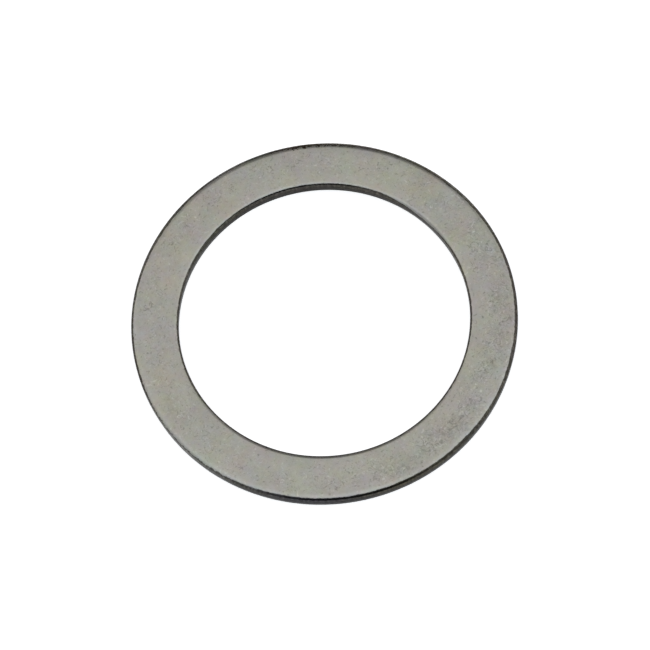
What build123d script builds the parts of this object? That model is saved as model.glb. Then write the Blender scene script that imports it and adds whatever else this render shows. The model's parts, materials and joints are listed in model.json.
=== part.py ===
from build123d import *
from math import atan2, degrees, radians, tan
import os

# A flat steel spacing washer, blanked from strip and ground on both faces.
# It lies on its lower face. The origin is the centre of that face, on the axis of the bore, and +Z points
# up through the upper face, the one where both sheared edges start with a die roll. All sizes are in
# millimetres and all angles in degrees.

# The ring
shaft_diameter = 30.0  # the shaft that the washer is slipped over
shaft_clearance = 0.15  # between that shaft and the bore, on the diameter
ring_width = 4.925  # from the bore to the rim, between their burnished bands
thickness = 1.6  # from ground face to ground face

# The sheared rim, from the upper face down: die roll, burnished band, fracture
rim_roll_width = 0.70
rim_roll_depth = 0.35
rim_shoulder_radius = 0.16  # where the roll turns down into the band
rim_band_height = 0.55
rim_fracture_angle = 6.0  # leans inwards below the band

# The sheared bore, from the upper face down, cut in the same stroke
bore_roll_width = 0.45
bore_roll_depth = 0.30
bore_shoulder_radius = 0.16
bore_band_height = 0.60
bore_fracture_angle = 5.0  # opens outwards below the band

# The lower corners lost their burr in the tumbling barrel
rim_corner_radius = 0.15
bore_corner_radius = 0.12

# Where the edges turn, as radii from the axis and heights above the lower face
bore_radius = (shaft_diameter + shaft_clearance) / 2
rim_radius = bore_radius + ring_width

rim_band_top = thickness - rim_roll_depth
rim_band_foot = rim_band_top - rim_band_height
rim_foot_radius = rim_radius - rim_band_foot * tan(radians(rim_fracture_angle))

bore_band_top = thickness - bore_roll_depth
bore_band_foot = bore_band_top - bore_band_height
bore_foot_radius = bore_radius + bore_band_foot * tan(radians(bore_fracture_angle))


def die_roll(width, depth, shoulder_radius):
    """The radius of a roll's long arc beside the ground face, and how far its short shoulder arc turns.

    The two arcs are tangent to the face, to the burnished band and to each other, which leaves one long
    arc that fits: its centre lies under the edge of the face, one long radius less one shoulder radius
    away from the shoulder's centre.
    """
    across = width - shoulder_radius
    long_radius = (across**2 + depth**2 - shoulder_radius**2) / (2 * (depth - shoulder_radius))
    shoulder_turn = degrees(atan2(long_radius - depth, across))
    return long_radius, shoulder_turn


rim_long_radius, rim_shoulder_turn = die_roll(rim_roll_width, rim_roll_depth, rim_shoulder_radius)
bore_long_radius, bore_shoulder_turn = die_roll(bore_roll_width, bore_roll_depth, bore_shoulder_radius)

with BuildPart() as washer:
    # The section of the ring, right of the axis, drawn anticlockwise from the inner end of the lower face
    with BuildSketch(Plane.XZ):
        with BuildLine():
            lower_face = Line((bore_foot_radius, 0), (rim_foot_radius, 0))
            rim_fracture = Line(lower_face @ 1, (rim_radius, rim_band_foot))
            rim_band = Line(rim_fracture @ 1, (rim_radius, rim_band_top))
            rim_shoulder = JernArc(rim_band @ 1, rim_band % 1, rim_shoulder_radius, rim_shoulder_turn)
            rim_roll = JernArc(rim_shoulder @ 1, rim_shoulder % 1, rim_long_radius, 90 - rim_shoulder_turn)
            upper_face = Line(rim_roll @ 1, (bore_radius + bore_roll_width, thickness))
            bore_roll = JernArc(upper_face @ 1, upper_face % 1, bore_long_radius, 90 - bore_shoulder_turn)
            bore_shoulder = JernArc(bore_roll @ 1, bore_roll % 1, bore_shoulder_radius, bore_shoulder_turn)
            bore_band = Line(bore_shoulder @ 1, (bore_radius, bore_band_foot))
            bore_fracture = Line(bore_band @ 1, lower_face @ 0)
        make_face()
    revolve(axis=Axis.Z)

    def lower_corners():
        """The circles round the lower face, the bore's first and the rim's last."""
        return washer.edges().group_by(Axis.Z)[0].sort_by(SortBy.RADIUS)

    fillet(lower_corners()[-1], radius=rim_corner_radius)
    fillet(lower_corners()[0], radius=bore_corner_radius)

washer.part.label = "washer"

os.makedirs("parts", exist_ok=True)
export_step(washer.part, "parts/washer.step")

print("bore radius", bore_radius, "rim radius", rim_radius)
print("burnished band of the bore from", round(bore_band_foot, 3), "to", round(bore_band_top, 3))
print("volume in cubic millimetres", round(washer.part.volume, 1))
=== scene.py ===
# %% [markdown]
# # A spacing washer: one blanked, hardened and ground steel ring
#
# This lesson dresses a plain machine part. The lesson makes the finish that the real washer has: two pale
# ground faces, dark sheared edges, a ragged line where the two meet, and the specks, the stains and the
# scratch that handling left.
#
# Everything is in metres, in the frame's own place: the washer lies flat on its lower face, the axis of its
# bore is the Z axis, and the upper face looks up at the camera.

# %% Load the fixed frame
import json
import math

import bpy
from mathutils import Matrix, Vector


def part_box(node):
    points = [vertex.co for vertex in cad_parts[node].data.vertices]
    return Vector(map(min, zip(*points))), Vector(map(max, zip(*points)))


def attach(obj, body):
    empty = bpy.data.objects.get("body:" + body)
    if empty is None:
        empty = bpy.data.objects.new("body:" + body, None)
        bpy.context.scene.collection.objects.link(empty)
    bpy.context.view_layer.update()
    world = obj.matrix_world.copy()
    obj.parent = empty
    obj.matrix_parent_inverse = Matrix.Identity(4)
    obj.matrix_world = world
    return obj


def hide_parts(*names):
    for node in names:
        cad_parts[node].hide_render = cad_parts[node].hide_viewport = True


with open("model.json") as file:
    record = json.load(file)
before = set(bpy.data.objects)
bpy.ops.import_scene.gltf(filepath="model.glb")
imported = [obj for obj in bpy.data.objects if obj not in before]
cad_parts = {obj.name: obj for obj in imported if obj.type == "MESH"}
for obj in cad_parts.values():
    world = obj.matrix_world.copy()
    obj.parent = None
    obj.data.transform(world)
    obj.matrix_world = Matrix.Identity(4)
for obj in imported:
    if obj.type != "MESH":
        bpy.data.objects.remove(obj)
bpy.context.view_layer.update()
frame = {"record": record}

# %% [markdown]
# ## Sizes
#
# The ring's own sizes are read from the frame, so the visible piece always fits it. The sheared edges are too
# small to read from a box, so their sizes are named here. A blanking tool leaves the same three bands on
# every cut, from the side where it enters: a rounded die roll, a smooth burnished band and a torn fracture
# that leans back from the cut. A tumbling barrel then rounds the corners on the other side.

# %% Sizes of the ring and of its sheared edges
MM = 0.001

low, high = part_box("washer")
rim_radius = high.x
thickness = high.z
bore_mount = next(mount for mount in frame["record"]["mounts"] if mount["name"] == "bore")
bore_radius = bore_mount["dims"]["r_mm"] * MM

rim_edge = {
    "roll_width": 0.70 * MM,
    "roll_depth": 0.35 * MM,
    "shoulder": 0.16 * MM,
    "band": 0.55 * MM,
    "lean": math.radians(6.0),
    "corner": 0.15 * MM,
}
bore_edge = {
    "roll_width": 0.45 * MM,
    "roll_depth": 0.30 * MM,
    "shoulder": 0.16 * MM,
    "band": 0.60 * MM,
    "lean": math.radians(5.0),
    "corner": 0.12 * MM,
}
print(f"rim {rim_radius / MM:.2f} mm, bore {bore_radius / MM:.3f} mm, thickness {thickness / MM:.2f} mm")

# %% [markdown]
# ## The section
#
# A turned or blanked ring is one small outline carried round an axis, so the outline is drawn first. It could
# be a flat ring with bevelled corners, but a bevel is the same all round, and here each corner has a form of
# its own. It is a list of points, but none is typed in: each stretch is a straight or an arc with its own
# formula, divided as finely as the marks on it need. The edges carry torn metal, so they get a point every
# 0.07 mm.
#
# A die roll is two arcs that are tangent to the face, to the band and to each other. Given the roll's width,
# its depth and the radius of the tight shoulder, only one long arc fits.

# %% Draw the section as straights and arcs
EDGE_STEP = 0.07 * MM
FACE_STEP = 0.12 * MM
HIDDEN_STEP = 0.30 * MM


def straight(start, end, step):
    """Points from start towards end, about one step apart, without end itself."""
    start, end = Vector(start), Vector(end)
    count = max(1, round((end - start).length / step))
    return [start.lerp(end, i / count) for i in range(count)]


def arc(centre, radius, first, last):
    """Points on an arc from one angle to another, in radians, without the last one."""
    count = max(2, round(abs(last - first) * radius / EDGE_STEP))
    angles = [first + (last - first) * i / count for i in range(count)]
    return [Vector(centre) + radius * Vector((math.cos(a), math.sin(a))) for a in angles]


def sheared_edge(edge_radius, edge, facing):
    """A sheared edge from the upper face down to the lower one, as points of radius and height.

    facing is +1 for the rim, which looks away from the axis, and -1 for the bore, which looks at it.
    """
    across = edge["roll_width"] - edge["shoulder"]
    over = edge["roll_depth"] - edge["shoulder"]
    long_radius = (across**2 + edge["roll_depth"] ** 2 - edge["shoulder"] ** 2) / (2 * over)
    turn = math.atan2(long_radius - edge["roll_depth"], across)
    band_top = thickness - edge["roll_depth"]
    band_foot = band_top - edge["band"]
    foot = -band_foot * math.tan(edge["lean"])
    corner, lean = edge["corner"], edge["lean"]
    corner_centre = foot - corner * (1 - math.sin(lean)) / math.cos(lean)
    corner_top = (corner_centre + corner * math.cos(lean), corner - corner * math.sin(lean))
    points = [
        *arc((-edge["roll_width"], thickness - long_radius), long_radius, math.pi / 2, turn),
        *arc((-edge["shoulder"], band_top), edge["shoulder"], turn, 0),
        *straight((0, band_top), (0, band_foot), EDGE_STEP),
        *straight((0, band_foot), corner_top, EDGE_STEP),
        *arc((corner_centre, corner), corner, -lean, -math.pi / 2),
        Vector((corner_centre, 0)),
    ]
    return [Vector((edge_radius + facing * point.x, point.y)) for point in points]


rim_side = sheared_edge(rim_radius, rim_edge, facing=1)
bore_side = sheared_edge(bore_radius, bore_edge, facing=-1)
bore_side.reverse()
section = [
    *bore_side,
    *straight(bore_side[-1], rim_side[0], FACE_STEP)[1:],
    *rim_side,
    *straight(rim_side[-1], bore_side[0], HIDDEN_STEP)[1:],
]
print("section points", len(section))

# %% [markdown]
# ## Nodes made in code
#
# Trees of nodes are long when each node, setting and link takes a line of its own. One helper adds a node of
# any kind, sets its properties and fills its sockets. A socket may be given a number, a colour or another
# node, whose first output in use is then linked. The kinds that come back most have short names.

# %% A helper that adds a node with its settings and links
NOISE, MATH, VECTOR, RANGE, MIX, SPLIT = (
    "ShaderNodeTexNoise",
    "ShaderNodeMath",
    "ShaderNodeVectorMath",
    "ShaderNodeMapRange",
    "ShaderNodeMix",
    "ShaderNodeSeparateXYZ",
)
NOISE_MIDDLE = 0.5  # a noise runs from about 0 to 1, as much above this as below it


def pick(sockets, key):
    """The socket in use that has this name, or the socket with this number."""
    if isinstance(key, int):
        return sockets[key]
    return next(socket for socket in sockets if socket.name == key and socket.enabled)


def add(tree, kind, inputs=None, **settings):
    """Adds a node to a tree. inputs fills its sockets, and settings are the node's own properties."""
    node = tree.nodes.new(kind)
    for name, value in settings.items():
        setattr(node, name, value)
    for key, value in (inputs or {}).items():
        socket = pick(node.inputs, key)
        if isinstance(value, bpy.types.Node):
            value = next(output for output in value.outputs if output.enabled)
        if isinstance(value, bpy.types.NodeSocket):
            tree.links.new(value, socket)
        else:
            socket.default_value = value
    return node


print("kinds of node with a short name", NOISE, MATH, VECTOR, RANGE, MIX, SPLIT)

# %% [markdown]
# ## The marks of the tool, in Geometry Nodes
#
# The real ring isn't as clean as its drawing. Its marks could be a bump in the material alone, but the walls
# are seen from the side, where only a true shape breaks up a reflection. So a tree moves the points of the
# mesh, each kind of mark by a noise of its own:
#
# - the fracture is torn metal, grainy at a quarter of a millimetre,
# - the die rolls wave a little, because strip never flows evenly round a tool,
# - the ground faces are flat to a few thousandths of a millimetre.
#
# How steep the surface is tells face, roll and wall apart, and the height tells the fracture from the band.
# The marks go inwards only, so the ring stays inside the frame's box.

# %% Press the marks of the tool into the surface
WALL_STEEPNESS = (0.60, 0.95)  # 0 is level and 1 is upright
ROLL_STEEPNESS = 0.15
FRACTURE_FADE = 0.08 * MM
TOOL_MARKS = [
    # the input that says how deep they go, waves to the millimetre, detail
    ("Fracture roughness", 4.0, 2.0),
    ("Roll waviness", 1.1, 2.0),
    ("Face unevenness", 0.6, 3.0),
]


def tool_marks(tree, given, place):
    """How far the marks take each point inwards, as a vector. given holds the tree's inputs."""
    height = add(tree, SPLIT, {0: place}).outputs["Z"]
    normal = add(tree, "GeometryNodeInputNormal")
    up = add(tree, SPLIT, {0: normal}).outputs["Z"]
    level = add(tree, MATH, {0: up}, operation="ABSOLUTE")
    steep = add(tree, MATH, {0: 1.0, 1: level}, operation="SUBTRACT")

    wall = add(tree, RANGE, {"Value": steep, "From Min": WALL_STEEPNESS[0], "From Max": WALL_STEEPNESS[1]})
    below = add(tree, MATH, {0: given["Fracture height"], 1: height}, operation="SUBTRACT")
    lower = add(tree, RANGE, {"Value": below, "From Max": FRACTURE_FADE})
    torn = add(tree, MATH, {0: wall, 1: lower}, operation="MULTIPLY")
    rolled = add(tree, RANGE, {"Value": steep, "From Max": ROLL_STEEPNESS})

    in_mm = add(tree, VECTOR, {0: place, "Scale": 1 / MM}, operation="SCALE")
    depth = None
    for (amount, scale, detail), mask in zip(TOOL_MARKS, (torn, rolled, 1.0)):
        waves = {0: in_mm, "W": given["Seed"], "Scale": scale, "Detail": detail}
        noise = add(tree, NOISE, waves, noise_dimensions="4D")
        shaped = add(tree, MATH, {0: noise, 1: mask}, operation="MULTIPLY")
        scaled = add(tree, MATH, {0: shaped, 1: given[amount]}, operation="MULTIPLY")
        depth = scaled if depth is None else add(tree, MATH, {0: depth, 1: scaled}, operation="ADD")
    inwards = add(tree, MATH, {0: depth, 1: -1.0}, operation="MULTIPLY")
    return add(tree, VECTOR, {0: normal, "Scale": inwards}, operation="SCALE")


print("kinds of tool marks", len(TOOL_MARKS))

# %% [markdown]
# ## The crown of the upper face
#
# The barrel's stones rub hardest near an edge, so the upper face falls away over the last 1.4 mm before
# the rim and the bore, by 0.03 mm in all. That is far too little to see as a shape, but a mirror shows it:
# the face changes its tone towards both edges, as it picks up other parts of the tent. It could be drawn in
# the section, but as a step of the tree it is two numbers that are easy to change. The drop is greatest on
# the upper face and nothing on the lower one, so the walls shorten evenly.

# %% Let the upper face fall away towards its edges
CROWN_DEPTH = 0.03 * MM
CROWN_REACH = 1.4 * MM


def crown(tree, given, place):
    """How far each point drops, as a vector."""
    flat = add(tree, VECTOR, {0: place, 1: (1.0, 1.0, 0.0)}, operation="MULTIPLY")
    radius = add(tree, VECTOR, {0: flat}, operation="LENGTH")
    out = add(tree, MATH, {0: radius, 1: given["Centreline radius"]}, operation="SUBTRACT")
    off = add(tree, MATH, {0: out}, operation="ABSOLUTE")
    level_width = add(tree, MATH, {0: given["Half width"], 1: given["Crown reach"]}, operation="SUBTRACT")
    fall = {"From Min": level_width, "From Max": given["Half width"], "To Max": given["Crown depth"]}
    eased = add(tree, RANGE, {"Value": off, **fall}, interpolation_type="SMOOTHSTEP")
    height = add(tree, SPLIT, {0: place}).outputs["Z"]
    share = add(tree, RANGE, {"Value": height, "From Max": thickness, "To Max": -1.0})
    drop = add(tree, MATH, {0: eased, 1: share}, operation="MULTIPLY")
    return add(tree, "ShaderNodeCombineXYZ", {"Z": drop})


print(f"the upper face falls {CROWN_DEPTH / MM:.2f} mm over its last {CROWN_REACH / MM:.1f} mm")

# %% [markdown]
# ## The ring in Geometry Nodes
#
# The rule of the shape is simple, so the main piece is a tree: take a section, carry it round a circle, then
# add the marks. Spinning the section by hand would leave a seam to weld. A sweep of one closed curve along
# another has no seam and no pole. It lays the section's X outwards from the circle and its Y downwards, so
# heights go in as minus.

# %% Build the tree that sweeps the ring
SWEEP_INPUTS = {
    "Centreline radius": "NodeSocketFloat",
    "Segments": "NodeSocketInt",
    "Fracture height": "NodeSocketFloat",
    "Fracture roughness": "NodeSocketFloat",
    "Roll waviness": "NodeSocketFloat",
    "Face unevenness": "NodeSocketFloat",
    "Crown depth": "NodeSocketFloat",
    "Crown reach": "NodeSocketFloat",
    "Half width": "NodeSocketFloat",
    "Seed": "NodeSocketFloat",
    "Finish": "NodeSocketMaterial",
}


def ring_tree():
    """A tree that turns a flat closed section into a roughened ring."""
    tree = bpy.data.node_groups.new("Blanked ring from a section", "GeometryNodeTree")
    tree.is_modifier = True
    tree.interface.new_socket(name="Section", in_out="INPUT", socket_type="NodeSocketGeometry")
    for name, kind in SWEEP_INPUTS.items():
        tree.interface.new_socket(name=name, in_out="INPUT", socket_type=kind)
    tree.interface.new_socket(name="Ring", in_out="OUTPUT", socket_type="NodeSocketGeometry")
    given = add(tree, "NodeGroupInput").outputs

    outline = add(tree, "GeometryNodeMeshToCurve", {"Mesh": given["Section"]})
    circle = add(
        tree,
        "GeometryNodeCurvePrimitiveCircle",
        {"Resolution": given["Segments"], "Radius": given["Centreline radius"]},
    )
    swept = add(tree, "GeometryNodeCurveToMesh", {"Curve": circle, "Profile Curve": outline})

    place = add(tree, "GeometryNodeInputPosition")
    inwards = tool_marks(tree, given, place)
    rough = add(tree, "GeometryNodeSetPosition", {"Geometry": swept, "Offset": inwards})
    drop = crown(tree, given, place)
    worn = add(tree, "GeometryNodeSetPosition", {"Geometry": rough, "Offset": drop})
    smooth = add(tree, "GeometryNodeSetShadeSmooth", {0: worn})
    solid = add(tree, "GeometryNodeRealizeInstances", {"Geometry": smooth})
    dressed = add(tree, "GeometryNodeSetMaterial", {"Geometry": solid, "Material": given["Finish"]})
    add(tree, "NodeGroupOutput", {"Ring": dressed})
    return tree


blanked_ring = ring_tree()
print("ring tree nodes", len(blanked_ring.nodes))

# %% [markdown]
# ## Colours
#
# A colour is written as the sRGB hex value that the eye would pick from a picture, and one function turns it
# into the linear numbers that the shaders work with. Its numbers are those of the sRGB standard.

# %% Turn sRGB hex colours to linear


def linear(hex_colour, alpha=1.0):
    """An sRGB colour such as 9D9B93 as linear red, green, blue and alpha."""
    channels = [int(hex_colour[i : i + 2], 16) / 255 for i in (0, 2, 4)]
    return (*(c / 12.92 if c <= 0.04045 else ((c + 0.055) / 1.055) ** 2.4 for c in channels), alpha)


print("the middle grey 808080 in linear numbers", round(linear("808080")[0], 3))

# %% [markdown]
# ## The finish: hardened carbon steel, ground and tumbled
#
# Heat treatment leaves a dark oxide all over such a ring. Grinding takes it off the two faces, and tumbling
# takes it off the shallow part of the die rolls, so what is left is dark walls under a pale face. What
# decides whether a point is dark is therefore how deep it lies below the nearest face.
#
# The eye reads three things here: a pale satin face, a thin dark outline, and a slightly ragged line between
# them. A painted image could hold all three, but it would need a seam and would blur close up. Patterns that
# are worked out from where a point lies have neither fault. This cell makes the coordinate that the two
# finishes share, in millimetres.

# %% Measure depth below the nearest face
MIDDLE_HEIGHT = thickness / MM / 2


def depth_below_face(tree, mm):
    """How far a point lies below the nearer of the two faces, in millimetres."""
    height = add(tree, SPLIT, {0: mm}).outputs["Z"]
    from_middle = add(tree, MATH, {0: height, 1: MIDDLE_HEIGHT}, operation="SUBTRACT")
    away = add(tree, MATH, {0: from_middle}, operation="ABSOLUTE")
    return add(tree, MATH, {0: MIDDLE_HEIGHT, 1: away}, operation="SUBTRACT")


print(f"middle of the thickness {MIDDLE_HEIGHT:.2f} mm above the lower face")

# %% [markdown]
# ## Places round the ring
#
# Several marks keep to one stretch of one edge. A gradient round the axis could find such a stretch, but its
# angle jumps where a full turn ends. The distance between two unit vectors has no such jump, so one function
# takes the bearing of a stretch, counted from the X axis as the photograph gives it, and makes its mask. The
# mask covers the die roll and the wall, and it fades out where the ground face begins.

# %% Find a stretch of an edge
RIM_FADE = (1.0, 0.65)  # millimetres in from the edge, between which its marks fade in
BORE_FADE = (0.80, 0.45)
RIM = [rim_radius / MM - inset for inset in RIM_FADE]
BORE = [bore_radius / MM + inset for inset in BORE_FADE]


def polar(tree, mm):
    """How far a point lies from the axis, in millimetres, and the unit vector from the axis towards it."""
    flat = add(tree, VECTOR, {0: mm, 1: (1.0, 1.0, 0.0)}, operation="MULTIPLY")
    radius = add(tree, VECTOR, {0: flat}, operation="LENGTH")
    bearing = add(tree, VECTOR, {0: flat}, operation="NORMALIZE")
    return radius, bearing


def stretch(tree, where, edge, middle, half_length):
    """1 in the middle of a stretch of the rim or the bore, falling to 0 at its ends. where is from polar."""
    radius, bearing = where
    here = add(tree, RANGE, {"Value": radius, "From Min": edge[0], "From Max": edge[1]})
    aim = (math.cos(math.radians(middle)), math.sin(math.radians(middle)), 0.0)
    gap = add(tree, VECTOR, {0: bearing, 1: aim}, operation="DISTANCE")
    ends = {"From Min": 2 * math.sin(math.radians(half_length) / 2), "From Max": 0.0}
    near = add(tree, RANGE, {"Value": gap, **ends}, interpolation_type="SMOOTHSTEP")
    return add(tree, MATH, {0: here, 1: near}, operation="MULTIPLY")


print("radii where marks fade in: rim", [round(r, 3) for r in RIM], "bore", [round(r, 3) for r in BORE])

# %% [markdown]
# ## Where the oxide is left
#
# In most places the line lies about 0.1 mm below the face, and it wanders by a few hundredths. The barrel
# worked harder in some places than in others. Down the left of the rim and at the far right of the bore the
# metal is bare deep into the roll. On the far rim the film climbs to the face and ends in ragged teeth, and
# it climbs a little on both sides of that stretch and on parts of the bore.
#
# The line could be painted by hand round both edges, but that would need an image. Here it is one depth that
# a noise shifts, and a list raises or lowers it from place to place. The teeth are a second noise, which is
# added only where the list says so.

# %% Mask the oxide
OXIDE_DEPTH = 0.105  # all lengths in this cell are in millimetres
OXIDE_BLUR = 0.015  # half the width of the line's soft border
OXIDE_WANDER = 0.12  # from the lowest level of the noise to the highest
OXIDE_CHANGES = [
    # which edge, middle and half length in degrees, how much higher the film climbs, height of its teeth
    (RIM, 185, 85, -0.035, 0.0),
    (RIM, 215, 36, -0.085, 0.30),
    (RIM, 84, 22, 0.045, 0.45),
    (RIM, 142, 30, 0.043, 0.0),
    (RIM, 40, 36, 0.030, 0.0),
    (RIM, 322, 20, -0.027, 0.0),
    (RIM, 268, 50, -0.014, 0.0),
    (BORE, 38, 22, -0.18, 0.15),
    (BORE, 318, 45, 0.03, 0.0),
    (BORE, 353, 14, 0.025, 0.0),
    (BORE, 200, 32, 0.035, 0.0),
]


def oxide_mask(tree, mm, where, depth):
    """1 where the oxide is left, 0 where the metal is bare."""
    ragged = add(tree, NOISE, {0: mm, "Scale": 1.4, "Detail": 5.0, "Roughness": 0.75})
    torn = add(tree, NOISE, {0: mm, "Scale": 2.2, "Detail": 2.0, "Roughness": 0.6})
    wander = {0: ragged, 1: OXIDE_WANDER, 2: -OXIDE_WANDER * NOISE_MIDDLE}
    shift = add(tree, MATH, wander, operation="MULTIPLY_ADD")
    level = add(tree, MATH, {0: depth, 1: shift}, operation="ADD")
    for edge, middle, half_length, climb, teeth in OXIDE_CHANGES:
        here = stretch(tree, where, edge, middle, half_length)
        push = add(tree, MATH, {0: torn, 1: teeth, 2: climb - teeth * NOISE_MIDDLE}, operation="MULTIPLY_ADD")
        level = add(tree, MATH, {0: here, 1: push, 2: level}, operation="MULTIPLY_ADD")
    limits = {"From Min": OXIDE_DEPTH - OXIDE_BLUR, "From Max": OXIDE_DEPTH + OXIDE_BLUR}
    return add(tree, RANGE, {"Value": level, **limits}, interpolation_type="SMOOTHSTEP")


print("stretches where the oxide changes", len(OXIDE_CHANGES))

# %% [markdown]
# ## The ground face
#
# A ground and tumbled face has no clear lay. It shows clouds a few millimetres wide and a grain that goes
# down to a tenth of a millimetre, each size about as strong as the next. A tiled picture would repeat round
# the ring, and a noise doesn't. With a roughness of 1 all its sizes are equally strong, and the noises are
# centred on nought, so that the colour stays as written.
#
# The middle of the face, and one side of the ring most, rubbed against other parts. There the metal is a
# little darker and its grain stronger, and towards both edges it is paler and smoother.

# %% Tone the bare metal
BARE_STEEL = "9D9B93"
CLOUDS = 0.24  # from the darkest cloud to the palest, as a share of the metal's tone
GRAIN = 0.26
GRAIN_WORN = 0.60  # what the grain gains where the face is rubbed most
WORN_LOSS = 0.11
TINT_SPREAD = (0.28, 0.28, 0.50)  # for red, green and blue

WORN_RADIUS = 18.0
WORN_HALF_WIDTH = 2.8
WORN_SIDE = (0.83, -0.56, 0.0)  # points from the axis to the side that is rubbed most
WORN_SIDE_REACH = (4.0, 18.0)  # millimetres that way, from where the rubbing is least to where it is most
WORN_LEAST = 0.35
WORN_PATCHES = (0.35, 0.60)  # levels of a noise, from between the rubbed patches to inside them
WORN_BETWEEN = 0.3


def worn_mask(tree, mm, where):
    """How much a place of the face is rubbed, from 0 to 1."""
    off = add(tree, MATH, {0: where[0], 1: WORN_RADIUS}, operation="SUBTRACT")
    gap = add(tree, MATH, {0: off}, operation="ABSOLUTE")
    limits = {"From Min": WORN_HALF_WIDTH, "From Max": 0.0}
    lane = add(tree, RANGE, {"Value": gap, **limits}, interpolation_type="SMOOTHSTEP")
    side = add(tree, VECTOR, {0: mm, 1: WORN_SIDE}, operation="DOT_PRODUCT")
    reach = {"From Min": WORN_SIDE_REACH[0], "From Max": WORN_SIDE_REACH[1], "To Min": WORN_LEAST}
    share = add(tree, RANGE, {"Value": side, **reach})
    patchy = add(tree, NOISE, {0: mm, "Scale": 0.45, "Detail": 2.0})
    levels = {"From Min": WORN_PATCHES[0], "From Max": WORN_PATCHES[1], "To Min": WORN_BETWEEN}
    patch = add(tree, RANGE, {"Value": patchy, **levels})
    worn = add(tree, MATH, {0: lane, 1: share}, operation="MULTIPLY")
    return add(tree, MATH, {0: worn, 1: patch}, operation="MULTIPLY")


def brightness(tree, mm, worn):
    """The factor by which the bare metal is lighter or darker from place to place."""
    clouds = add(tree, NOISE, {0: mm, "Scale": 0.2, "Detail": 2.0, "Roughness": 1.0})
    grain = add(tree, NOISE, {0: mm, "Scale": 1.8, "Detail": 3.0, "Roughness": 1.0})
    strength = add(tree, MATH, {0: worn, 1: GRAIN_WORN, 2: GRAIN}, operation="MULTIPLY_ADD")
    off = add(tree, MATH, {0: grain, 1: NOISE_MIDDLE}, operation="SUBTRACT")
    grained = add(tree, MATH, {0: off, 1: strength, 2: 1 - CLOUDS * NOISE_MIDDLE}, operation="MULTIPLY_ADD")
    clouded = add(tree, MATH, {0: clouds, 1: CLOUDS, 2: grained}, operation="MULTIPLY_ADD")
    return add(tree, MATH, {0: worn, 1: -WORN_LOSS, 2: clouded}, operation="MULTIPLY_ADD")


def tint(tree, mm):
    """Faint warm, green and cold patches, as a factor for each of red, green and blue."""
    patches = add(tree, NOISE, {0: mm, "Scale": 0.25, "Detail": 3.5, "Roughness": 0.95}).outputs["Color"]
    back = [1 - share * NOISE_MIDDLE for share in TINT_SPREAD]
    return add(tree, VECTOR, {0: patches, 1: TINT_SPREAD, 2: back}, operation="MULTIPLY_ADD")


print("bare steel in linear numbers", [round(c, 3) for c in linear(BARE_STEEL)[:3]])

# %% [markdown]
# ## Pits and flecks
#
# Handling and the tumbling stones leave small dark pits and bright flecks, 0.1 to 0.3 mm long and of no
# regular shape. A texture of cells would give each one a round outline, so they are the peaks and the hollows
# of one fine, distorted noise instead, and there are more of them where the face is worn.

# %% Find pits and flecks
PIT_LIMITS = (0.60, 0.77)  # levels of the noise, from the border of a mark to its middle
FLECK_LIMITS = (0.37, 0.25)
MORE_WHERE_WORN = 0.09


def pits_and_flecks(tree, mm, worn):
    """Two masks: one for the dark pits and one for the bright flecks."""
    fine = add(tree, NOISE, {0: mm, "Scale": 1.7, "Detail": 1.5, "Roughness": 0.65, "Distortion": 2.5})
    higher = add(tree, MATH, {0: worn, 1: MORE_WHERE_WORN, 2: fine}, operation="MULTIPLY_ADD")
    lower = add(tree, MATH, {0: worn, 1: -MORE_WHERE_WORN / 2, 2: fine}, operation="MULTIPLY_ADD")
    pit = add(tree, RANGE, {"Value": higher, "From Min": PIT_LIMITS[0], "From Max": PIT_LIMITS[1]})
    fleck = add(tree, RANGE, {"Value": lower, "From Min": FLECK_LIMITS[0], "From Max": FLECK_LIMITS[1]})
    return pit, fleck


print("pits above level", PIT_LIMITS[0], "of the noise, flecks below", FLECK_LIMITS[0])

# %% [markdown]
# ## Stains
#
# Fingers and drops of coolant left a few larger stains. A noise would put them anywhere, so each is a round
# spot of its own, placed as in the photograph by its bearing and its radius. A round spot looks drawn, and a
# warped coordinate makes its outline irregular.

# %% Lay the stains
STAIN_WARP = 1.2  # millimetres from one end of the noise to the other
STAINS = [
    # bearing in degrees, radius, half width in millimetres, strength
    (333.6, 18.0, 0.9, 1.0),
    (352.6, 17.4, 0.8, 0.6),
    (304.0, 17.6, 0.8, 0.5),
    (311.1, 18.0, 0.7, 0.5),
    (290.9, 17.9, 0.7, 0.4),
    (156.2, 17.9, 0.7, 0.45),
    (164.3, 17.1, 0.9, 0.45),
    (116.2, 18.4, 0.5, 0.4),
    (101.5, 18.4, 0.5, 0.3),
    (60.4, 18.7, 0.5, 0.4),
    (38.3, 18.2, 0.6, 0.4),
    (226.9, 17.8, 0.6, 0.35),
    (273.2, 18.1, 0.6, 0.35),
]


def stain_mask(tree, mm):
    """How strongly a place is stained."""
    warp = add(tree, NOISE, {0: mm, "Scale": 1.5, "Detail": 2.0}).outputs["Color"]
    warped = add(tree, VECTOR, {0: warp, 1: (STAIN_WARP, STAIN_WARP, 0.0), 2: mm}, operation="MULTIPLY_ADD")
    shift = STAIN_WARP * NOISE_MIDDLE
    total = None
    for bearing, radius, width, strength in STAINS:
        angle = math.radians(bearing)
        centre = (radius * math.cos(angle) + shift, radius * math.sin(angle) + shift, thickness / MM)
        gap = add(tree, VECTOR, {0: warped, 1: centre}, operation="DISTANCE")
        limits = {"From Min": width, "From Max": 0.0, "To Max": strength}
        spot = add(tree, RANGE, {"Value": gap, **limits}, interpolation_type="SMOOTHSTEP")
        total = spot if total is None else add(tree, MATH, {0: total, 1: spot}, operation="MAXIMUM")
    return total


print("stains", len(STAINS))

# %% [markdown]
# ## A scratch
#
# One faint scratch, a little over a millimetre long, shows at the far right of the face. Cut into the mesh,
# it would need finer points than the face has, so it is a mask, as the stains are. How far a place lies from
# the scratch is measured to its nearest point: the one straight beside the place, or else one of the ends.

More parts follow.
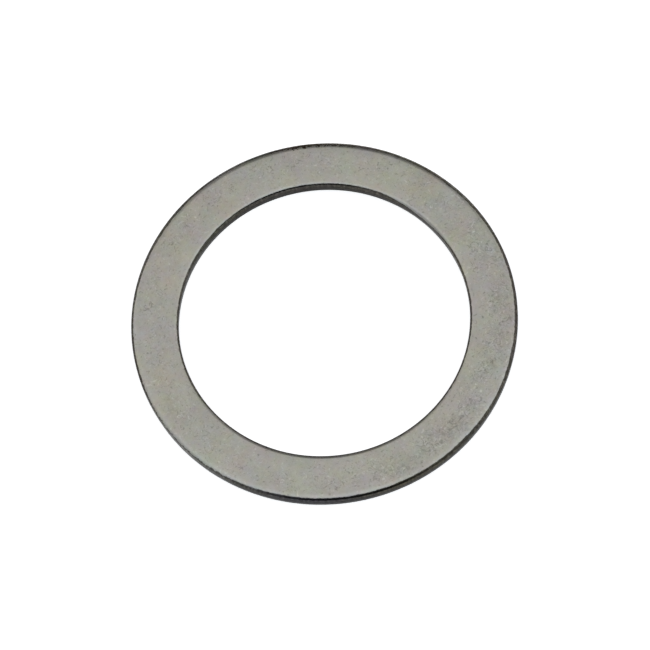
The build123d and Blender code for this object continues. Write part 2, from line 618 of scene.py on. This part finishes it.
# %% Draw the scratch
# Its ends on the upper face and half its width, in millimetres
SCRATCH_START = Vector((14.04, 11.75, thickness / MM))
SCRATCH_END = Vector((13.49, 10.72, thickness / MM))
SCRATCH_HALF_WIDTH = 0.16


def scratch_mask(tree, mm):
    """1 along the middle of the scratch, falling to 0 beside it."""
    along = SCRATCH_END - SCRATCH_START
    from_start = add(tree, VECTOR, {0: mm, 1: SCRATCH_START}, operation="SUBTRACT")
    reached = add(tree, VECTOR, {0: from_start, 1: along.normalized()}, operation="DOT_PRODUCT")
    kept = add(tree, "ShaderNodeClamp", {"Value": reached, "Max": along.length})
    nearest = add(tree, VECTOR, {0: along.normalized(), "Scale": kept}, operation="SCALE")
    gap = add(tree, VECTOR, {0: from_start, 1: nearest}, operation="DISTANCE")
    limits = {"From Min": SCRATCH_HALF_WIDTH, "From Max": 0.0}
    return add(tree, RANGE, {"Value": gap, **limits}, interpolation_type="SMOOTHSTEP")


print(f"scratch {(SCRATCH_END - SCRATCH_START).length:.2f} mm long")

# %% [markdown]
# ## The film on the sheared walls
#
# The oxide is nearly black. Round the ring its colour is partly the film's own cast and partly painted
# reflection: the blue-grey nearest the camera paints in a cool reflection, darkest straight in front, olive
# lies to the right of that, and the brown on the far side paints in a warm reflection. The paler stretches,
# most of all beside the brown stretch and at the near left, are painted reflections of brighter cloth. A
# colour ramp round the ring would set one colour for rim and bore alike, so a list gives each edge its own
# stretches, and each is mixed over the last.
#
# Tool marks run straight down the walls, so the noise for them is squeezed along Z: it changes along the edge
# but hardly from top to bottom. Small bright specks are left where the film has chipped. Painted shade runs
# down the wall: the film is painted darker towards the foot, for the shadowed floor near the ring that the
# wall mirrors, and darker again on the die roll, which deepens the dark line at the top of the wall.

# %% Colour the oxide film
OXIDE = "4B4843"
# The stretch colours are partly the film's own cast and partly painted reflection of the tent.
FILM_AND_REFLECTION_TINTS = [
    # which edge, middle and half length in degrees, colour
    (RIM, 260, 28, "464549"),
    (RIM, 270, 12, "403E3F"),
    (RIM, 290, 34, "4D4A3F"),
    (RIM, 322, 26, "45423A"),
    (RIM, 88, 20, "5C5042"),
    (RIM, 56, 38, "7E7C72"),
    (RIM, 72, 14, "827D74"),
    (RIM, 106, 26, "6C6A65"),
    (RIM, 152, 36, "504F49"),
    (RIM, 212, 30, "7A7873"),
    (BORE, 14, 20, "656159"),
    (BORE, 56, 16, "54514B"),
    (BORE, 132, 26, "44433A"),
    (BORE, 212, 30, "56534D"),
]
STREAK_SQUEEZE = (1.0, 1.0, 0.2)
STREAK_LIMITS = (0.35, 0.65)
STREAK_DARK, STREAK_PALE = (0.62, 0.60, 0.58), (1.25, 1.25, 1.25)
CHIP_LIMITS = (0.5, 0.7)
UNCHIPPED, CHIPPED = 0.92, 1.6
# Painted shade on the film: dark at the foot of the wall, lightest at the top of the band, darker on the
# roll.
PAINTED_SHADE_AT_FOOT, PAINTED_SHADE_ON_BAND, PAINTED_SHADE_ON_ROLL = 0.27, 1.09, 0.88
ROLL_FADE = 0.1  # millimetres above the band


def film_and_reflection_tint(tree, where):
    """The oxide's colour on each stretch of the edges, partly its own cast and partly painted reflection."""
    film = linear(OXIDE)
    for edge, middle, half_length, colour in FILM_AND_REFLECTION_TINTS:
        here = stretch(tree, where, edge, middle, half_length)
        # Each stretch's colour, partly a painted reflection, is mixed over the last.
        film = add(tree, MIX, {"Factor": here, "A": film, "B": linear(colour)}, data_type="RGBA")
    return film


def painted_wall_shade(tree, mm):
    """Painted shade on the film, as a factor, from the foot of the wall to the top of the die roll."""
    height = add(tree, SPLIT, {0: mm}).outputs["Z"]
    band_top = (thickness - rim_edge["roll_depth"]) / MM
    rising = {"From Max": band_top, "To Min": PAINTED_SHADE_AT_FOOT, "To Max": PAINTED_SHADE_ON_BAND}
    wall = add(tree, RANGE, {"Value": height, **rising})
    falling = {"From Min": band_top, "From Max": band_top + ROLL_FADE, "To Max": PAINTED_SHADE_ON_ROLL / PAINTED_SHADE_ON_BAND}
    painted_roll_shade = add(tree, RANGE, {"Value": height, "To Min": 1.0, **falling})
    return add(tree, MATH, {0: wall, 1: painted_roll_shade}, operation="MULTIPLY")


def oxide_film_with_painted_light(tree, mm, where):
    """The colour of the dark film, as if it covered everything, with its painted reflections and painted
    shade.
    """
    squeezed = add(tree, VECTOR, {0: mm, 1: STREAK_SQUEEZE}, operation="MULTIPLY")
    streaks = add(tree, NOISE, {0: squeezed, "Scale": 4.0, "Detail": 3.0, "Roughness": 0.65})
    streak = add(tree, RANGE, {"Value": streaks, "From Min": STREAK_LIMITS[0], "From Max": STREAK_LIMITS[1]})
    marked = add(tree, MIX, {"Factor": streak, "A": STREAK_PALE, "B": STREAK_DARK}, data_type="VECTOR")
    streaked = add(tree, VECTOR, {0: film_and_reflection_tint(tree, where), 1: marked}, operation="MULTIPLY")

    chips = add(tree, NOISE, {0: mm, "Scale": 3.2, "Detail": 1.0, "Roughness": 0.6})
    limits = {"From Min": CHIP_LIMITS[0], "From Max": CHIP_LIMITS[1], "To Min": UNCHIPPED, "To Max": CHIPPED}
    chip = add(tree, RANGE, {"Value": chips, **limits})
    # The painted shade down the wall, with the chips made paler.
    tone = add(tree, MATH, {0: painted_wall_shade(tree, mm), 1: chip}, operation="MULTIPLY")
    return add(tree, VECTOR, {0: streaked, "Scale": tone}, operation="SCALE")


print("tinted stretches of film", len(FILM_AND_REFLECTION_TINTS))

# %% [markdown]
# ## The steel
#
# Both finishes lie on one metal, and the ragged line between them follows no edge of the mesh. Two materials
# would need such an edge, so there is one, and the oxide's mask picks its colour and its gloss. Metal gets
# whiter at a glancing angle and oxide less so, which the edge tint says. A bump of two thousandths of a
# millimetre breaks up the mirror image a little.

# %% Make the steel
PIT = "7C7A73"
FLECK = "B0AEA7"
STAIN = "77756D"
STAIN_SHARE = 0.3
METAL_EDGE, OXIDE_EDGE = "FFFFFF", "CBCBCB"
METAL_ROUGHNESS, OXIDE_ROUGHNESS = 0.32, 0.22
RELIEF = 0.002 * MM


def steel_material():
    """Hardened steel with ground faces and oxide left on the sheared edges."""
    material = bpy.data.materials.new("hardened_steel_ground_and_tumbled")
    material.use_nodes = True
    tree = material.node_tree
    shader = tree.nodes["Principled BSDF"]
    shader.inputs["Metallic"].default_value = 1.0

    place = add(tree, "ShaderNodeTexCoord").outputs["Object"]
    mm = add(tree, VECTOR, {0: place, "Scale": 1 / MM}, operation="SCALE")
    where = polar(tree, mm)
    oxide = oxide_mask(tree, mm, where, depth_below_face(tree, mm))

    worn = worn_mask(tree, mm, where)
    tone = brightness(tree, mm, worn)
    bare = add(tree, VECTOR, {0: linear(BARE_STEEL)[:3], "Scale": tone}, operation="SCALE")
    pit, fleck = pits_and_flecks(tree, mm, worn)
    pitted = add(tree, MIX, {"Factor": pit, "A": bare, "B": linear(PIT)}, data_type="RGBA")
    flecked = add(tree, MIX, {"Factor": fleck, "A": pitted, "B": linear(FLECK)}, data_type="RGBA")
    marked = add(tree, MATH, {0: stain_mask(tree, mm), 1: scratch_mask(tree, mm)}, operation="MAXIMUM")
    stained_share = add(tree, MATH, {0: marked, 1: STAIN_SHARE}, operation="MULTIPLY")
    stained = add(tree, MIX, {"Factor": stained_share, "A": flecked, "B": linear(STAIN)}, data_type="RGBA")

    film = oxide_film_with_painted_light(tree, mm, where)
    # The film brings its painted reflections and painted shade into the steel's colour.
    colour = add(tree, MIX, {"Factor": oxide, "A": stained, "B": film}, data_type="RGBA")
    tinted = add(tree, VECTOR, {0: colour, 1: tint(tree, mm)}, operation="MULTIPLY")
    tree.links.new(tinted.outputs[0], shader.inputs["Base Color"])
    edges = {"A": linear(METAL_EDGE), "B": linear(OXIDE_EDGE)}
    edge = add(tree, MIX, {"Factor": oxide, **edges}, data_type="RGBA")
    tree.links.new(pick(edge.outputs, "Result"), shader.inputs["Specular Tint"])

    gloss = add(tree, RANGE, {"Value": oxide, "To Min": METAL_ROUGHNESS, "To Max": OXIDE_ROUGHNESS})
    tree.links.new(gloss.outputs[0], shader.inputs["Roughness"])

    grain = add(tree, NOISE, {0: mm, "Scale": 5.0, "Detail": 3.0, "Roughness": 0.6})
    relief = add(tree, MATH, {0: grain, 1: pit}, operation="SUBTRACT")
    bump = add(tree, "ShaderNodeBump", {"Height": relief, "Distance": RELIEF, "Strength": 1.0})
    tree.links.new(bump.outputs[0], shader.inputs["Normal"])
    return material


steel = steel_material()
print("steel nodes", len(steel.node_tree.nodes))

# %% [markdown]
# ## Sweep the ring
#
# The section goes in as a closed wire. The inputs are set by their identifiers before the piece is first
# evaluated, and the finished sweep is copied to a plain mesh, so that the piece that is kept has no modifier.
# 900 segments make each one 0.14 mm long at the rim, too short to show as a corner.

# %% Make the washer's visible piece
SEGMENTS = 900

centreline = (rim_radius + bore_radius) / 2
wire = bpy.data.meshes.new("washer_section")
wire.from_pydata(
    [(point.x - centreline, -point.y, 0) for point in section],
    [(i, (i + 1) % len(section)) for i in range(len(section))],
    [],
)
ring = bpy.data.objects.new("washer_ring", wire)
bpy.context.scene.collection.objects.link(ring)

sizes = {
    "Centreline radius": centreline,
    "Segments": SEGMENTS,
    "Fracture height": thickness - rim_edge["roll_depth"] - rim_edge["band"],
    "Fracture roughness": 0.02 * MM,
    "Roll waviness": 0.012 * MM,
    "Face unevenness": 0.002 * MM,
    "Crown depth": CROWN_DEPTH,
    "Crown reach": CROWN_REACH,
    "Half width": (rim_radius - bore_radius) / 2,
    "Seed": 7.0,
    "Finish": steel,
}
modifier = ring.modifiers.new("sweep", "NODES")
modifier.node_group = blanked_ring
for item in blanked_ring.interface.items_tree:
    if item.in_out == "INPUT" and item.name in sizes:
        modifier[item.identifier] = sizes[item.name]

depsgraph = bpy.context.evaluated_depsgraph_get()
swept = bpy.data.meshes.new_from_object(ring.evaluated_get(depsgraph))
ring.modifiers.clear()
ring.data = swept
print("ring triangles", sum(len(face.vertices) - 2 for face in swept.polygons))

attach(ring, "root")
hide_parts("washer")

# %% [markdown]
# ## The floor
#
# The floor is plain pale card. A card that is only lit looks grey beside bright metal, and more light would
# burn the metal out. So the floor is part card, lit by the tent, and part an even glow that only some rays
# see. The camera sees most of that glow, so the card looks white and still catches a little of the ring's
# shadow. The steel sees less of it, so the walls show the card getting darker towards the ring.

# %% Lay the floor
FLOOR_SIDE = 6.0
FLOOR_GAP = 0.01 * MM
CARD = "D9D9D9"
GLOW_FOR_CAMERA = 0.64
GLOW_FOR_STEEL = 0.30


def floor_material():
    """White card that the camera sees as nearly white, with a faint shadow left on it."""
    material = bpy.data.materials.new("white_card")
    material.use_nodes = True
    tree = material.node_tree
    tree.nodes.clear()
    ray = add(tree, "ShaderNodeLightPath").outputs
    mirrored = add(tree, MATH, {0: ray["Is Glossy Ray"], 1: ray["Is Transmission Ray"]}, operation="MAXIMUM")
    to_steel = add(tree, MATH, {0: mirrored, 1: GLOW_FOR_STEEL}, operation="MULTIPLY")
    seen = {0: ray["Is Camera Ray"], 1: GLOW_FOR_CAMERA, 2: to_steel}
    glow = add(tree, MATH, seen, operation="MULTIPLY_ADD")
    card = add(tree, "ShaderNodeBsdfDiffuse", {"Color": linear(CARD)})
    shine = add(tree, "ShaderNodeEmission", {"Color": (1, 1, 1, 1), "Strength": glow})
    both = add(tree, "ShaderNodeAddShader", {0: card, 1: shine})
    add(tree, "ShaderNodeOutputMaterial", {"Surface": both})
    return material


floor_mesh = bpy.data.meshes.new("floor")
half = FLOOR_SIDE / 2
corners = [(-half, -half), (half, -half), (half, half), (-half, half)]
floor_mesh.from_pydata([(x, y, -FLOOR_GAP) for x, y in corners], [], [(0, 1, 2, 3)])
floor_mesh.materials.append(floor_material())
floor = bpy.data.objects.new("floor", floor_mesh)
bpy.context.scene.collection.objects.link(floor)
print("floor", FLOOR_SIDE, "metres square")

# %% [markdown]
# ## Light
#
# A flat metal ring shows the sky of its studio, and here that sky is a white tent with soft dark places.
# Lamps would show as spots in the rolls, so the tent itself shines, and all of it is one world shader.
#
# The face and most of the rolls mirror the white cloth. On the far side is an opening that is darkest in its
# middle: the far rolls tip towards it and turn dark. Low on the left the cloth is dim, which softly darkens
# the rolls that tip that way. On the camera's side, lower down than the camera, four openings run together
# and draw the black line under the near roll. The cloth is cooler and brighter there, as by a window.

# %% Put up the tent
TENT_FAR = ("FFFFFF", 1.14)
TENT_NEAR = ("F0F6FF", 1.58)
TENT_CHANGE = (0.2, -0.35)  # how far along Y a direction points where the far cloth ends and the near begins
OPENINGS = [
    # bearing, degrees down from straight up, half width, half width of its soft border, light left in it
    (84, 64, 29, 7, 0.22),
    (85, 60, 14, 7, 0.6),
    (200, 84, 32, 20, 0.42),
    (232, 53, 12, 6, 0.75),
    (256, 52, 18, 3, 0.0),
    (281, 52, 18, 3, 0.0),
    (312, 54, 14, 6, 0.3),
]


def sky_direction(bearing, down):
    """The unit vector that points at a place in the sky."""
    bearing, down = math.radians(bearing), math.radians(down)
    return Vector((math.sin(down) * math.cos(bearing), math.sin(down) * math.sin(bearing), math.cos(down)))


def tent_world():
    """A world that is white cloth all round, with dark openings."""
    world = bpy.data.worlds.new("light_tent")
    world.use_nodes = True
    tree = world.node_tree
    toward = add(tree, "ShaderNodeTexCoord").outputs["Generated"]
    depth = add(tree, SPLIT, {0: toward}).outputs["Y"]
    nearness = add(tree, RANGE, {"Value": depth, "From Min": TENT_CHANGE[0], "From Max": TENT_CHANGE[1]})
    hues = [linear(hex_colour) for hex_colour, _ in (TENT_FAR, TENT_NEAR)]
    cloth = add(tree, MIX, {"Factor": nearness, "A": hues[0], "B": hues[1]}, data_type="RGBA")
    strength = add(tree, RANGE, {"Value": nearness, "To Min": TENT_FAR[1], "To Max": TENT_NEAR[1]})
    for bearing, down, half_width, border, left in OPENINGS:
        aligned = add(tree, VECTOR, {0: toward, 1: sky_direction(bearing, down)}, operation="DOT_PRODUCT")
        inner = math.cos(math.radians(half_width - border))
        outer = math.cos(math.radians(half_width + border))
        limits = {"From Min": inner, "From Max": outer, "To Min": left}
        share = add(tree, RANGE, {"Value": aligned, **limits}, interpolation_type="SMOOTHSTEP")
        strength = add(tree, MATH, {0: strength, 1: share}, operation="MULTIPLY")
    background = tree.nodes["Background"]
    tree.links.new(pick(cloth.outputs, "Result"), background.inputs["Color"])
    tree.links.new(strength.outputs[0], background.inputs["Strength"])
    return world


bpy.context.scene.world = tent_world()
print("dark places in the tent", len(OPENINGS))

# %% [markdown]
# ## Camera
#
# The ring's two ellipses in the photograph fix the camera: about 67 degrees above the floor, a little under
# half a metre away, and rolled a little. Turning it aside would put the ring where it lies in the picture,
# but a small shift of the lens does so too, and the camera stays aimed straight at the ring.

# %% Set the camera
PHOTO_SIDE = 650
CENTRE_X = 323.8  # the middle of the upper face in the photograph, in pixels from its upper left corner
CENTRE_Y = 318.1
ELEVATION = math.radians(67.3)
DISTANCE = 0.45
ROLL = math.radians(-9.4)
FOCAL_PIXELS = 4363
SENSOR = 36.0

camera_data = bpy.data.cameras.new("camera")
camera_data.sensor_width = SENSOR
camera_data.lens = FOCAL_PIXELS / PHOTO_SIDE * SENSOR
camera_data.shift_x = (PHOTO_SIDE / 2 - CENTRE_X) / PHOTO_SIDE
camera_data.shift_y = (CENTRE_Y - PHOTO_SIDE / 2) / PHOTO_SIDE
camera = bpy.data.objects.new("camera", camera_data)
back = Vector((0, -math.cos(ELEVATION), math.sin(ELEVATION)))
turn = (-back).to_track_quat("-Z", "Y").to_matrix().to_4x4() @ Matrix.Rotation(ROLL, 4, "Z")
camera.matrix_world = Matrix.Translation(Vector((0, 0, thickness)) + back * DISTANCE) @ turn
bpy.context.scene.collection.objects.link(camera)
bpy.context.scene.camera = camera
bpy.context.scene.view_settings.view_transform = "Standard"
print("camera at", [round(c, 3) for c in camera.matrix_world.translation])
